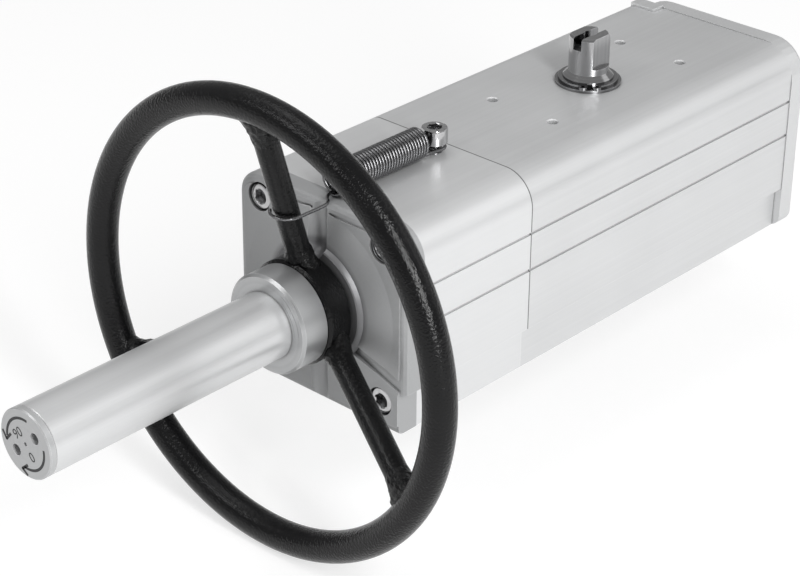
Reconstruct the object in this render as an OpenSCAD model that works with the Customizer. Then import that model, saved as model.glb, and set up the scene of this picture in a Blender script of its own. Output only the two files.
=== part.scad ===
// Pneumatic quarter-turn actuator: rack and pinion, double acting, with a handwheel override.
// The origin is the centre of the valve flange face, on the shaft axis. +Z is up along the shaft.
// The handwheel is at -X, the near side at -Y and the air port side at +Y. At rest the valve is closed.

/* [Body] */
// Width of the body across its sides
body_w = 82; // [82:0.5:90]
// Height of the body over the flange face
body_h = 80; // [79.5:0.5:86]
// Length of the main housing
main_l = 165; // [160:1:190]
// Length of the override housing
override_l = 58.5; // [52:0.5:70]
// Diameter of the cylinder bore
bore_d = 63; // [62.5:0.25:64]
// Height of the cylinder axis over the flange face
axis_h = 42; // [41.5:0.25:42.5]
// Radius of the near top shoulder
near_shoulder_r = 13; // [9:0.5:14]
// Radius of the far top corner
far_corner_r = 6.5; // [4:0.5:9]
// Radius of the lower corners
low_corner_r = 2; // [1:0.25:3]
// Height of the set-back strip along the near side
strip_h = 17.5; // [12:0.5:22]
// Depth of the set-back strip along the near side
strip_d = 3; // [1:0.25:3.5]
// Height of the lower side groove
groove_low_h = 42.3; // [32:0.1:48]
// Height of the upper side groove
groove_high_h = 57.3; // [52:0.1:62]
// Width of the side grooves
groove_w = 1.2; // [0.8:0.1:2]
// Depth of the side grooves
groove_d = 0.7; // [0.4:0.1:1.2]

/* [Covers] */
// Thickness of the front cover
front_cover_t = 10.3; // [9.8:0.1:13]
// Thickness of the rear cover
rear_cover_t = 9.5; // [9:0.5:14]
// How far the covers stand proud of the body
cover_proud = 0.4; // [0.2:0.1:0.8]
// Radius of the covers' outer edges
cover_edge_r = 2.5; // [1.5:0.25:3]
// Radius of the rear cover's shoulders
rear_shoulder_r = 15; // [12:0.5:16]
// Radius of the front cover's far corner
front_far_r = 9; // [6:0.5:12]
// Radius of the boss behind the hub
boss_r = 22; // [21:0.5:23]
// Height of the boss behind the hub
boss_h = 3; // [2.5:0.25:3.5]
// Height of the raised pad on the front cover's face
face_pad_h = 0.8; // [0.5:0.1:1.5]
// Inset of the raised pad from the far, upper and lower edges
face_pad_in = 3.5; // [3:0.25:4.5]
// Width of the valleys over and under the boss
valley_w = 8.5; // [5:0.5:9]
// Depth of the valleys over and under the boss
valley_d = 2.2; // [1:0.1:2.4]
// Inset of the cover screws from the sides
screw_side_in = 11; // [10.5:0.5:12]
// Inset of the upper cover screws from the top
screw_top_in = 7.5; // [7.25:0.25:8]
// Height of the lower cover screws over the flange face
screw_low_z = 11.5; // [11:0.25:12]
// Length of the covers' spigots in the bore
spigot_l = 6; // [5:0.5:8]
// Length of the side tab on the top of the rear corner
tab_l = 6.3; // [5:0.1:8]
// Width of the tab on the top of the rear corner
tab_w = 12; // [8:0.5:12]
// Height of the tab over the top
tab_h = 1.2; // [0.8:0.1:2]

/* [Screws] */
// Thread diameter of the cover and lock screws
screw_d = 6; // [5.5:0.25:6]
// Head diameter of the cover and lock screws
screw_head_d = 10; // [9:0.25:10]
// Head height of the cover and lock screws
screw_head_h = 6; // [5:0.25:6]
// Length of thread in the main housing
screw_engage = 14; // [12:0.5:18]
// Diameter of the bearing retainer's screws
retainer_screw_d = 4; // [3:0.25:4]

/* [Shaft] */
// Diameter of the shaft's top end
shaft_top_d = 16; // [14:0.5:17]
// Height of the shaft's top end over the body
shaft_top_h = 20; // [18:1:30]
// Width across the flats of the top end
flats_w = 12; // [10:0.5:13]
// Length of the flats
flats_l = 12.5; // [8:0.5:14]
// Width of the indicator slot
slot_w = 4; // [3:0.25:4.5]
// Depth of the indicator slot
slot_d = 5; // [3:0.5:7]
// Diameter of the lower journal
low_journal_d = 28; // [27:0.25:28]
// Diameter of the upper journal
top_journal_d = 20; // [19:0.25:20]
// Diameter of the shoulder under the upper bush
shoulder_d = 24.4; // [22.5:0.1:24.6]
// Width across the square drive socket
socket_w = 14.1; // [11.1:0.5:14.6]
// Depth of the square drive socket
socket_depth = 17; // [14:0.5:20]
// Distance of the shaft's lower end from the spigot recess
shaft_recess = 0.2; // [0.2:0.05:0.4]
// Thickness of the retaining ring
circlip_t = 1.2; // [1:0.1:1.5]
// Thickness of the washer under the retaining ring
washer_t = 1.2; // [1:0.1:1.5]

/* [Rack and pinion] */
// Tooth module
tooth_m = 1.5; // [1.4:0.05:1.5]
// Number of pinion teeth
pinion_teeth = 18; // [18:2:20]
// Height of the pinion
pinion_h = 30; // [28:0.5:31]
// Height of the racks
rack_h = 26; // [20:0.5:26]
// Pressure angle of the teeth
pressure_angle = 20; // [20:0.5:22]
// Thinning of each tooth flank, for backlash
flank_gap = 0.07; // [0.06:0.01:0.1]

/* [Pistons] */
// Thickness of the piston heads
head_t = 16; // [14:0.5:18]
// Section of the piston seals
piston_seal_d = 3; // [2.5:0.1:3]
// Width of the guide rings
guide_w = 5; // [4:0.25:5.5]
// Width of the racks' back pads
pad_w = 12; // [8:0.5:14]
// Length of the racks' back pads
pad_l = 20; // [14:1:26]
// Diameter of the hollow in the rear piston's face
dish_d = 40; // [30:1:44]
// Depth of the hollow in the rear piston's face
dish_depth = 5; // [3:0.5:6]

/* [Override spindle] */
// Lead of the spindle's thread
spindle_lead = 4; // [3:0.25:4]
// Turns of the handwheel from closed to open
wheel_turns = 5.3333; // [5:0.0001:5.3333]
// Diameter of the spindle
spindle_d = 14; // [12:0.5:14]
// Width across the spindle's square head
spindle_head_w = 15; // [14.5:0.25:15.5]
// Thickness of the spindle's head
spindle_head_t = 6; // [5:0.5:8]
// Diameter of the draw sleeve on the front piston
sleeve_d = 26; // [25.5:0.25:27]
// Free length of the sleeve's cavity
sleeve_cavity_l = 28; // [24:0.5:30]
// Thickness of the nut that closes the sleeve
sleeve_nut_t = 4; // [3:0.25:5]
// Length of the bulkhead on the override side
bulkhead_l = 10; // [8:0.5:12]
// Diameter of the bulkhead's clamped flange
bulkhead_flange_d = 68; // [66:0.5:70]
// Diameter of the drive nut inside the hub
nut_d = 24; // [23:0.25:24]
// Diameter of the drive nut's journal in the cover
nut_journal_d = 27; // [26:0.25:27]
// Diameter of the drive nut's flange
nut_flange_d = 36; // [34:0.5:37]
// Thickness of the drive nut's flange
nut_flange_t = 5; // [4:0.25:5]
// Wall of the drive nut's bush
nut_bush_wall = 2.45; // [2:0.05:2.6]
// Thickness of the thrust washers
thrust_t = 1.5; // [1:0.1:1.6]
// Outer diameter of the bearing retainer
retainer_d = 54; // [52:0.5:56]
// Thickness of the bearing retainer's plate
retainer_t = 4; // [3:0.25:6]

/* [Handwheel] */
// Diameter of the handwheel over its rim
wheel_d = 180; // [150:1:200]
// Diameter of the rim's section
rim_d = 12; // [10:0.5:14]
// Diameter of the spokes
spoke_d = 9; // [7:0.5:10]
// Forward dish of the rim from the hub
wheel_dish = 20.4; // [14:0.1:26]
// Diameter of the hub
hub_d = 40; // [38:0.5:42]
// Length of the hub
hub_l = 11.2; // [10.5:0.1:14]
// Diameter of the lock collar
collar_d = 38; // [34:0.5:38]
// Length of the lock collar
collar_l = 12; // [10:0.5:16]
// Diameter of the spindle tube
tube_d = 25.3; // [25:0.1:26]
// Wall of the spindle tube
tube_wall = 2.15; // [1.5:0.05:2.6]
// Length of the tube in front of the collar
tube_l = 108.5; // [104:0.5:140]
// Thickness of the tube's end cap
cap_t = 2.6; // [2:0.1:4]
// Spacing of the cap's two spanner holes
cap_hole_gap = 12.6; // [11:0.2:14]
// Diameter of the cap's two spanner holes
cap_hole_d = 4.2; // [3:0.2:4.6]
// Width of the hub key
key_w = 5; // [4:0.25:6]

/* [Lock spring] */
// Outer diameter of the lock spring
spring_d = 12; // [10:0.25:12]
// Diameter of the spring and hook wire
wire_d = 1.3; // [1.1:0.05:1.35]
// Pitch of the closed coils
coil_pitch = 1.45; // [1.4:0.01:1.5]
// Number of coils
coils = 31; // [26:1:31]
// Distance of the lock screw from the seam
lock_screw_in = 8; // [7:0.25:10]
// Gap under the lock screw's head
lock_head_gap = 4; // [3:0.25:5]

/* [Mounts] */
// Diameter of the valve spigot recess
recess_d = 35; // [34.5:0.25:36]
// Depth of the valve spigot recess
recess_depth = 3; // [2.5:0.25:3]
// Bolt circle of the small flange pattern
small_pcd = 50; // [50:0.5:52]
// Hole diameter of the small flange pattern
small_hole_d = 5; // [4:0.25:5]
// Hole depth of the small flange pattern
small_hole_depth = 10; // [8:0.5:11]
// Bolt circle of the large flange pattern
large_pcd = 70; // [69:0.5:71]
// Hole diameter of the large flange pattern
large_hole_d = 6.8; // [6:0.1:6.8]
// Hole depth of the large flange pattern
large_hole_depth = 12; // [10:0.5:14]
// Length of the accessory pattern on the top
top_pattern_l = 80; // [80:1:90]
// Width of the accessory pattern on the top
top_pattern_w = 30; // [30:0.5:32]
// Hole diameter of the accessory pattern
top_hole_d = 4.2; // [3.3:0.1:4.3]
// Hole depth of the accessory pattern
top_hole_depth = 7.5; // [6:0.25:8]
// Diameter of the air ports
port_d = 11.4; // [8.6:0.2:11.4]
// Spacing of the air ports
port_gap = 24; // [24:0.5:26]
// Spacing of the port side's screw holes, along
port_screw_l = 32; // [32:0.5:34]
// Spacing of the port side's screw holes, up
port_screw_h = 24; // [24:0.5:26]
// Depth of the port side's screw holes
port_screw_depth = 8; // [6:0.5:8]

/* [Hidden] */
$fn = 96;

// Clearances
eps = 0.01;
running_gap = 0.05;
spigot_gap = 0.05;
piston_gap = 0.08;
end_gap = 0.5;
screw_hole_gap = 0.3;
head_seat_gap = 0.5;
wire_gap = 0.1;
spring_gap = 0.4;
rack_tip_gap = 0.4;
shaft_float = 0.3;

// Body stations along X, from the shaft axis
bore_r = bore_d / 2;
half_l = main_l / 2;
half_w = body_w / 2;
cover_in_x = -half_l - override_l;
cover_out_x = cover_in_x - front_cover_t;
boss_x = cover_out_x - boss_h;
rear_x = half_l + rear_cover_t;

// Rack, pinion and stroke
stroke = spindle_lead * wheel_turns;
pitch_r = tooth_m * pinion_teeth / 2;
tip_r = pitch_r + tooth_m;
root_r = pitch_r - 1.25 * tooth_m;
base_r = pitch_r * cos(pressure_angle);
tooth_pitch = PI * tooth_m;
rack_tip_y = pitch_r - tooth_m;
rack_root_y = tip_r + rack_tip_gap;
piston_out_x = half_l - spigot_l - end_gap - stroke;
piston_in_x = piston_out_x - head_t;
rack_clear = 8;
rack_end_x = rack_clear - piston_in_x;
piston_r = bore_r - piston_gap;
rack_back_r = bore_r - end_gap;

// Grooves and seals of the pistons
seal_back = 3.5;
seal_groove_w = piston_seal_d + 0.4;
seal_squeeze = 0.03;
guide_back = seal_back + seal_groove_w + 1.6;
guide_depth = 1.9;
pad_depth = 2;

// Shaft stations along Z
upper_bush_r = shoulder_d / 2 + 0.4;
upper_bush_z = axis_h + sqrt(bore_r * bore_r - upper_bush_r * upper_bush_r);
lower_bush_r = low_journal_d / 2 + 3;
floor_z = axis_h - bore_r;
shaft_low_z = recess_depth + shaft_recess;
lower_bush_z = recess_depth + 3;
shaft_seal_d = 1.8;
pinion_z = axis_h - pinion_h / 2;
washer_r = 13.1;
circlip_z = body_h + washer_t;
circlip_groove_r = top_journal_d / 2 - 0.7;
taper_z = circlip_z + circlip_t + 0.6;
taper_h = (top_journal_d - shaft_top_d) / 2;
shaft_z = body_h + shaft_top_h;
center_hole_r = 2.5;
center_hole_depth = 12;

// Override stations along X
bulkhead_flange_t = 3;
bulkhead_in_x = -half_l + spigot_l;
bulkhead_out_x = -half_l - bulkhead_l;
sleeve_overhang = 7.5;
sleeve_out_x = bulkhead_out_x - sleeve_overhang;
sleeve_bore_w = spindle_head_w + 0.4;
sleeve_spigot_r = 9;
sleeve_spigot_l = 8;
spindle_head_x = sleeve_out_x + sleeve_nut_t + 0.1;
flange_pocket_d = nut_flange_t + thrust_t - 1;
flange_pocket_r = nut_flange_d / 2 + 1.5;
nut_flange_x = cover_in_x - flange_pocket_d + thrust_t;
nut_bush_r = nut_journal_d / 2 + running_gap + nut_bush_wall;
nut_bush_l = 7.5;
retainer_x = nut_flange_x + nut_flange_t + thrust_t;
retainer_screw_r = (flange_pocket_r + retainer_d / 2) / 2 + 0.25;
hub_back_x = boss_x - 0.5;
hub_front_x = hub_back_x - hub_l;
collar_front_x = hub_front_x - collar_l;
nut_front_x = hub_front_x - 4;
tube_front_x = collar_front_x - tube_l;
cap_plug_l = 2;
tube_in_r = tube_d / 2 - tube_wall;
spindle_front_x = tube_front_x + cap_t + cap_plug_l + end_gap + stroke;

// Handwheel
rim_r = (wheel_d - rim_d) / 2;
spoke_root_in = 5.2;
spoke_root_x = hub_back_x - spoke_root_in;
spoke_root_r = 18;
rim_x = spoke_root_x - wheel_dish;
spoke_len = sqrt(pow(wheel_dish, 2) + pow(rim_r - spoke_root_r, 2));
spoke_tilt = atan2(wheel_dish, rim_r - spoke_root_r);

// Lock spring and hook
lock_screw_x = -half_l - lock_screw_in;
coil_r = (spring_d - wire_d) / 2;
coil_z = body_h + spring_gap + spring_d / 2;
spring_lead_l = 8.7;
coil_x = lock_screw_x - spring_lead_l;
coil_end_x = coil_x - coils * coil_pitch;
eye_r = screw_d / 2 + wire_d / 2 + 0.35;
eye_z = body_h + lock_head_gap / 2;
hook_z = coil_z - coil_r + wire_d + wire_gap;
hook_spoke_x = spoke_root_x - wheel_dish * (hook_z - axis_h - spoke_root_r) / (rim_r - spoke_root_r);
hook_gap = 0.8;
hook_shank_l = 16;
hook_r = spoke_d / 2 + wire_d / 2 + hook_gap;

// Air passages: a lengthwise channel beside the bore feeds both end chambers
channel_y = half_w - 8;
channel_top_in = 16;
channel_z = body_h - channel_top_in;
channel_r = 2.5;
feed_x = half_l - spigot_l + 1.8;
feed_angle = atan2(channel_z - axis_h, channel_y);
feed_r = 1.5;
riser_shift = 1.2;
port_depth = 7.5;

// Small fixed values
tab_seat = 2.5;
tab_side_in = 3.5;
rise_h = 1;
rise_r = body_h - axis_h - 2;
boss_flare = 1.2;
side_cut_in = 14;
side_cut_z = axis_h - 9.4;
side_cut_slope = 0.36;
side_cut_w = 5;
shaft_chamfer = 0.4;
cap_hole_angle = 50;
cap_hole_depth = 2;
cover_seal_d = 2;
cover_seal_in = 3;
sleeve_seal_d = 2.4;
sleeve_groove_r = sleeve_d / 2 + sleeve_seal_d + 0.1;
sleeve_nut_r = sleeve_bore_w * 0.75;
retainer_thread_l = 6;
lock_thread_l = body_h - axis_h - bore_r - 1;
shaft_groove_w = shaft_seal_d + 0.4;
low_seal_z = shaft_low_z + shaft_chamfer + shaft_groove_w / 2 + 0.1;
top_seal_z = body_h - 4.5;
circlip_r = top_journal_d / 2 + 1.8;
circlip_angle = 222;
eye_end_angle = 250;
key_l = 7;
grub_d = 5;
grub_angle = 160;

// Colours
alu_grey = [0.66, 0.67, 0.69];
light_alu = [0.80, 0.81, 0.83];
steel = [0.72, 0.73, 0.75];
black_gloss = [0.06, 0.06, 0.07];
bronze = [0.62, 0.45, 0.22];
rubber_black = [0.08, 0.08, 0.08];
pale_plastic = [0.85, 0.83, 0.76];

function involute(a) = tan(a) * 180 / PI - a;
function tooth_half_angle(r) = 90 / pinion_teeth + involute(pressure_angle)
    - involute(acos(min(1, base_r / r))) - flank_gap / pitch_r * 180 / PI;
function polar(r, a) = [r * cos(a), r * sin(a)];
// Radius of a tapped hole for thread diameter d
function tap_r(d) = 0.42 * d;
// Unit vector along v
function unit(v) = v / norm(v);
// Part of v that is square to t, as a unit vector
function level(v, t) = unit(v - (v * t) * t);
// Point u along the cubic curve from a to d
function bezier(a, b, c, d, u) =
    pow(1 - u, 3) * a + 3 * u * pow(1 - u, 2) * b + 3 * u * u * (1 - u) * c + pow(u, 3) * d;

// Pinion tooth flanks are involutes; a gap faces each rack
flank_steps = 4;
flank_radii = concat([root_r], [for (i = [0:flank_steps]) base_r + (tip_r - base_r) * i / flank_steps]);
pinion_outline = [
    for (k = [0:pinion_teeth - 1])
        let (c = 90 + (2 * k + 1) * 180 / pinion_teeth, n = len(flank_radii) - 1)
        each concat(
            [for (i = [0:n]) polar(flank_radii[i], c - tooth_half_angle(flank_radii[i]))],
            [for (i = [n:-1:0]) polar(flank_radii[i], c + tooth_half_angle(flank_radii[i]))]
        )
];

// Rack seen from above: a bar along the near side with straight-sided teeth towards the pinion
tooth_tip_half = tooth_pitch / 4 - tooth_m * tan(pressure_angle) - flank_gap;
tooth_root_half = tooth_pitch / 4 + (rack_root_y - pitch_r) * tan(pressure_angle) - flank_gap;
last_tooth = 3;
first_tooth = floor((-rack_end_x - tooth_root_half) / tooth_pitch);
rack_outline = concat(
    [[rack_end_x, -bore_r], [piston_in_x + 1, -bore_r], [piston_in_x + 1, -rack_root_y]],
    [
        for (k = [last_tooth:-1:-first_tooth])
            each [
                [k * tooth_pitch + tooth_root_half, -rack_root_y],
                [k * tooth_pitch + tooth_tip_half, -rack_tip_y],
                [k * tooth_pitch - tooth_tip_half, -rack_tip_y],
                [k * tooth_pitch - tooth_root_half, -rack_root_y]
            ]
    ],
    [[rack_end_x, -rack_root_y]]
);

// Places a shape that is drawn along +Z on the cylinder axis, running to +X from x
module on_axis(x) {
    translate([x, 0, axis_h]) rotate([0, 90, 0]) children();
}

// Extrudes an outline that is drawn in Y and Z from x along +X
module across(x, l) {
    translate([x, 0, 0]) rotate([90, 0, 90]) linear_extrude(l) children();
}

module ring(r_in, r_out, l) {
    difference() {
        cylinder(r = r_out, h = l);
        translate([0, 0, -1]) cylinder(r = r_in, h = l + 2);
    }
}

module o_ring(r_mid, d) {
    rotate_extrude() translate([r_mid, 0]) circle(d = d, $fn = 32);
}

// Rectangle from z0 to z1 whose two upper corners and lower corners have their own radii
module body_outline(w, z0, z1, r_near, r_far, r_low) {
    polygon([
        [-w, z0 + r_low], [-w + r_low, z0], [w - r_low, z0], [w, z0 + r_low],
        [w, z1 - r_far], [w - r_far, z1], [-w + r_near, z1], [-w, z1 - r_near]
    ]);
    for (s = [-1, 1]) translate([s * (w - r_low), z0 + r_low]) circle(r = r_low);
    translate([w - r_far, z1 - r_far]) circle(r = r_far);
    translate([-w + r_near, z1 - r_near]) circle(r = r_near);
}

// Extruded section that both housings share
module housing_section() {
    difference() {
        body_outline(half_w, 0, body_h, near_shoulder_r, far_corner_r, low_corner_r);
        translate([-half_w - 1, -1]) square([strip_d + 1, strip_h + 1]);
        for (z = [groove_low_h, groove_high_h]) {
            translate([-half_w - 1, z - groove_w / 2]) square([groove_d + 1, groove_w]);
        }
        translate([0, axis_h]) circle(r = bore_r);
    }
}

// The four places of the cover screws
module at_cover_screws(x) {
    for (side = [-1, 1], z = [screw_low_z, body_h - screw_top_in]) {
        translate([x, side * (half_w - screw_side_in), z]) rotate([0, 90, 0]) children();
    }
}

// Socket head screw that points to +Z, with its head's seat at z = 0
module socket_screw(d, core_r, head_d, head_h, plain_l, thread_l) {
    difference() {
        translate([0, 0, -head_h]) cylinder(d = head_d, h = head_h);
        translate([0, 0, -head_h - 1]) cylinder(r = d * 0.48, h = head_h / 2 + 1, $fn = 6);
    }
    cylinder(d = d, h = plain_l);
    cylinder(r = core_r, h = plain_l + thread_l);
}

// Cover plate with rounded outer edge, from x outwards along dir
module cover_plate(x, t, dir, r_near, r_far) {
    w = half_w + cover_proud;
    top = body_h + cover_proud;
    e = cover_edge_r;
    hull() {
        for (s = [[0, 0], [t - e, 0], [t - e / 2, e * (1 - sqrt(3) / 2)], [t - e * (1 - sqrt(3) / 2), e / 2],
                [t - eps, e]]) {
            across(dir > 0 ? x + s[0] : x - s[0] - eps, eps) {
                body_outline(w - s[1], s[1], top - s[1], r_near - s[1], r_far - s[1],
                    low_corner_r + e - s[1], $fn = 32);
            }
        }
    }
}

// Drilling from the bore out to the lengthwise air channel, at x
module air_feed(x, r) {
    translate([x, 0, axis_h]) rotate([feed_angle - 90, 0, 0]) translate([0, 0, bore_r - 2]) {
        cylinder(r = r, h = norm([channel_y, channel_z - axis_h]) - bore_r + 2);
    }
}

// Lengthwise channel, its feeds at both ends and the riser from the closing port
module air_passages() {
    translate([-feed_x, channel_y, channel_z]) rotate([0, 90, 0]) {
        cylinder(r = channel_r, h = feed_x + half_l + 1);
    }
    air_feed(feed_x, feed_r);
    air_feed(-feed_x, feed_r);
    translate([port_gap / 2 - 2, channel_y + riser_shift, axis_h]) cylinder(r = feed_r, h = channel_z - axis_h);
}

module air_ports() {
    translate([-port_gap / 2, 0, axis_h]) rotate([-90, 0, 0]) cylinder(d = port_d, h = half_w + 1);
    translate([port_gap / 2, half_w - port_depth, axis_h]) rotate([-90, 0, 0]) {
        cylinder(d = port_d, h = port_depth + 1);
    }
    for (x = [-1, 1], z = [-1, 1]) {
        translate([x * port_screw_l / 2, half_w - port_screw_depth, axis_h + z * port_screw_h / 2])
            rotate([-90, 0, 0]) cylinder(d = top_hole_d, h = port_screw_depth + 1);
    }
}

module flange_holes() {
    for (a = [45:90:315]) {
        rotate(a) translate([small_pcd / 2, 0, -1]) cylinder(d = small_hole_d, h = small_hole_depth + 1);
        rotate(a) translate([large_pcd / 2, 0, -1]) cylinder(d = large_hole_d, h = large_hole_depth + 1);
    }
    translate([0, 0, -1]) cylinder(d = recess_d, h = recess_depth + 1);
}

module shaft_holes() {
    cylinder(r = low_journal_d / 2 + 0.2, h = axis_h);
    translate([0, 0, lower_bush_z]) cylinder(r = lower_bush_r, h = axis_h - lower_bush_z);
    translate([0, 0, axis_h]) cylinder(r = upper_bush_r, h = body_h);
}

module top_holes() {
    for (x = [-1, 1], y = [-1, 1]) {
        translate([x * top_pattern_l / 2, y * top_pattern_w / 2, body_h - top_hole_depth]) {
            cylinder(d = top_hole_d, h = top_hole_depth + 1);
            translate([0, 0, top_hole_depth - 0.4]) cylinder(d1 = top_hole_d, d2 = top_hole_d + 1.4, h = 0.7);
        }
    }
}

module tab_block(extra) {
    translate([half_l - tab_l, half_w - tab_side_in - tab_w, body_h - tab_seat]) {
        cube([tab_l + extra, tab_w, tab_seat + tab_h + extra]);
    }
}

module main_housing() {
    color(alu_grey) difference() {
        across(-half_l, main_l) housing_section();
        at_cover_screws(-half_l - 1) cylinder(r = tap_r(screw_d), h = screw_engage + 3);
        at_cover_screws(half_l - screw_engage - 2) cylinder(r = tap_r(screw_d), h = screw_engage + 3);
        shaft_holes();
        flange_holes();
        top_holes();
        air_ports();
        air_passages();
        tab_block(1);
    }
}

module override_housing() {
    color(light_alu) difference() {
        across(cover_in_x, override_l) housing_section();
        at_cover_screws(cover_in_x - 1) cylinder(r = screw_d / 2 + screw_hole_gap, h = override_l + 2);
        on_axis(-half_l - bulkhead_flange_t) {
            cylinder(r = bulkhead_flange_d / 2 + spigot_gap, h = bulkhead_flange_t + 1);
        }
        translate([lock_screw_x, 0, body_h - lock_thread_l]) cylinder(r = tap_r(screw_d), h = lock_thread_l + 1);
    }
}

// Raised pad on the front cover's face, seen along X
module face_pad() {
    w = half_w + cover_proud;
    shift = (face_pad_in - cover_edge_r) / 2;
    translate([-shift, 0]) {
        body_outline(w - face_pad_in + shift, face_pad_in, body_h + cover_proud - face_pad_in,
            near_shoulder_r - face_pad_in, front_far_r - face_pad_in, low_corner_r);
    }
}

// Cut across the pad at mid height of each side, falling outwards
module side_cuts() {
    drop = (half_w + 3 - side_cut_in) * side_cut_slope;
    for (side = [-1, 1]) {
        across(cover_out_x - rise_h - 1, rise_h + 1 + face_pad_h + 0.1) {
            polygon([
                [side * side_cut_in, side_cut_z],
                [side * (half_w + 3), side_cut_z - drop],
                [side * (half_w + 3), side_cut_z - drop - side_cut_w],
                [side * side_cut_in, side_cut_z - side_cut_w]
            ]);
        }
    }
}

// Valleys that run from the boss to the top and the bottom edge
module cover_valleys() {
    r = (valley_w * valley_w / 4 + valley_d * valley_d) / (2 * valley_d);
    for (turn = [0, 180]) {
        translate([cover_out_x + valley_d - r, 0, axis_h]) rotate([turn, 0, 0]) translate([0, 0, boss_r + 1]) {
            cylinder(r = r, h = body_h);
            sphere(r = r);
        }
    }
}

// Face of the front cover: plate, pad and a low rise towards the boss
module cover_face() {
    difference() {
        union() {
            cover_plate(cover_in_x, front_cover_t - face_pad_h, -1, near_shoulder_r, front_far_r);
            across(cover_out_x, face_pad_h + 1) face_pad();
            on_axis(cover_out_x - rise_h) rotate_extrude() polygon([
                [0, 0], [boss_r + boss_flare, 0], [rise_r, rise_h], [rise_r - 2, rise_h + 1], [0, rise_h + 1]
            ]);
        }
        side_cuts();
        translate([cover_out_x - 1, -half_w - 1, -1]) {
            cube([front_cover_t + 2, 1 + strip_d - cover_proud, strip_h + 1]);
        }
    }
}

module front_cover() {
    color(alu_grey) difference() {
        union() {
            cover_face();
            on_axis(boss_x) rotate_extrude() polygon([
                [0, 0], [boss_r - 0.4, 0], [boss_r, 0.4], [boss_r + boss_flare, boss_h], [boss_r, boss_h + 1],
                [0, boss_h + 1]
            ]);
        }
        on_axis(boss_x - 1) cylinder(r = nut_bush_r, h = boss_h + front_cover_t + 2);
        on_axis(cover_in_x - flange_pocket_d) cylinder(r = flange_pocket_r, h = flange_pocket_d + 1);
        at_cover_screws(cover_out_x - boss_h) {
            cylinder(d = screw_head_d + 1, h = boss_h + screw_head_h + head_seat_gap);
        }
        at_cover_screws(cover_out_x - 1) cylinder(r = screw_d / 2 + screw_hole_gap, h = front_cover_t + 2);
        at_retainer_screws(cover_in_x - retainer_thread_l - 1) {
            cylinder(r = tap_r(retainer_screw_d), h = retainer_thread_l + 2);
        }
        cover_valleys();
    }
}

module rear_cover() {
    color(light_alu) difference() {
        union() {
            cover_plate(half_l, rear_cover_t, 1, rear_shoulder_r, rear_shoulder_r);
            on_axis(half_l - spigot_l) cylinder(r = bore_r - spigot_gap, h = spigot_l + 1);
        }
        on_axis(half_l - spigot_l + cover_seal_in) {
            ring(bore_r - cover_seal_d - 0.1, bore_r + 0.5, cover_seal_d + 0.4);
        }
        at_cover_screws(rear_x - screw_head_h - head_seat_gap) {
            cylinder(d = screw_head_d + 1, h = screw_head_h + 1);
        }
        at_cover_screws(half_l - 1) cylinder(r = screw_d / 2 + screw_hole_gap, h = rear_cover_t + 2);
        air_feed(feed_x - 0.8, feed_r + 0.3);
        on_axis(half_l - spigot_l - 1) cylinder(r = bore_r - 8, h = spigot_l + 1);
    }
}

module rear_cover_seal() {
    color(rubber_black) on_axis(half_l - spigot_l + cover_seal_in + cover_seal_d / 2 + 0.2) {
        o_ring(bore_r - cover_seal_d / 2 - seal_squeeze, cover_seal_d);
    }
}

module corner_tab() {
    color(alu_grey) tab_block(0);
}

module front_cover_screws() {
    color(steel) at_cover_screws(cover_out_x + screw_head_h + head_seat_gap) {
        socket_screw(screw_d, tap_r(screw_d), screw_head_d, screw_head_h,
            front_cover_t - screw_head_h - head_seat_gap + override_l, screw_engage);
    }
}

module rear_cover_screws() {
    color(steel) mirror([1, 0, 0]) at_cover_screws(-rear_x + screw_head_h + head_seat_gap) {
        socket_screw(screw_d, tap_r(screw_d), screw_head_d, screw_head_h,
            rear_cover_t - screw_head_h - head_seat_gap, screw_engage);
    }
}

module bulkhead() {
    color(light_alu) difference() {
        union() {
            on_axis(bulkhead_out_x) cylinder(r = bore_r - spigot_gap, h = bulkhead_in_x - bulkhead_out_x);
            on_axis(-half_l - bulkhead_flange_t) cylinder(d = bulkhead_flange_d, h = bulkhead_flange_t);
        }
        on_axis(bulkhead_out_x - 1) {
            cylinder(r = sleeve_d / 2 + running_gap, h = bulkhead_in_x - bulkhead_out_x + 2);
        }
        on_axis(bulkhead_out_x + 2) ring(bore_r - cover_seal_d - 0.1, bore_r + 1, cover_seal_d + 0.4);
        on_axis(-half_l - 2) cylinder(r = sleeve_groove_r, h = sleeve_seal_d + 0.4);
        air_feed(0.8 - feed_x, feed_r + 0.3);
        on_axis(-half_l + 1) ring(sleeve_groove_r + 3, bore_r - 8, spigot_l);
    }
}

module bulkhead_seal() {
    color(rubber_black) on_axis(bulkhead_out_x + 2 + cover_seal_d / 2 + 0.2) {
        o_ring(bore_r - cover_seal_d / 2 - seal_squeeze, cover_seal_d);
    }
}

module sleeve_seal() {
    color(rubber_black) on_axis(-half_l - 2 + sleeve_seal_d / 2 + 0.2) {
        o_ring(sleeve_d / 2 + sleeve_seal_d / 2 + seal_squeeze, sleeve_seal_d);
    }
}

module upper_shaft_bush() {
    color(pale_plastic) translate([0, 0, upper_bush_z]) {
        ring(top_journal_d / 2 + running_gap, upper_bush_r, body_h - upper_bush_z - 0.1);
    }
}

module lower_shaft_bush() {
    color(pale_plastic) translate([0, 0, lower_bush_z]) {
        ring(low_journal_d / 2 + running_gap, lower_bush_r, floor_z - lower_bush_z);
    }
}

module shaft_washer() {
    color(steel) translate([0, 0, body_h]) ring(top_journal_d / 2 + 0.2, washer_r, washer_t);
}

module nut_bush() {
    color(bronze) on_axis(cover_in_x - flange_pocket_d - nut_bush_l) {
        ring(nut_journal_d / 2 + running_gap, nut_bush_r, nut_bush_l);
    }
}

module outer_thrust_washer() {
    color(bronze) on_axis(nut_flange_x - thrust_t) {
        ring(nut_journal_d / 2 + screw_hole_gap, nut_flange_d / 2 + 0.5, thrust_t);
    }
}

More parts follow.
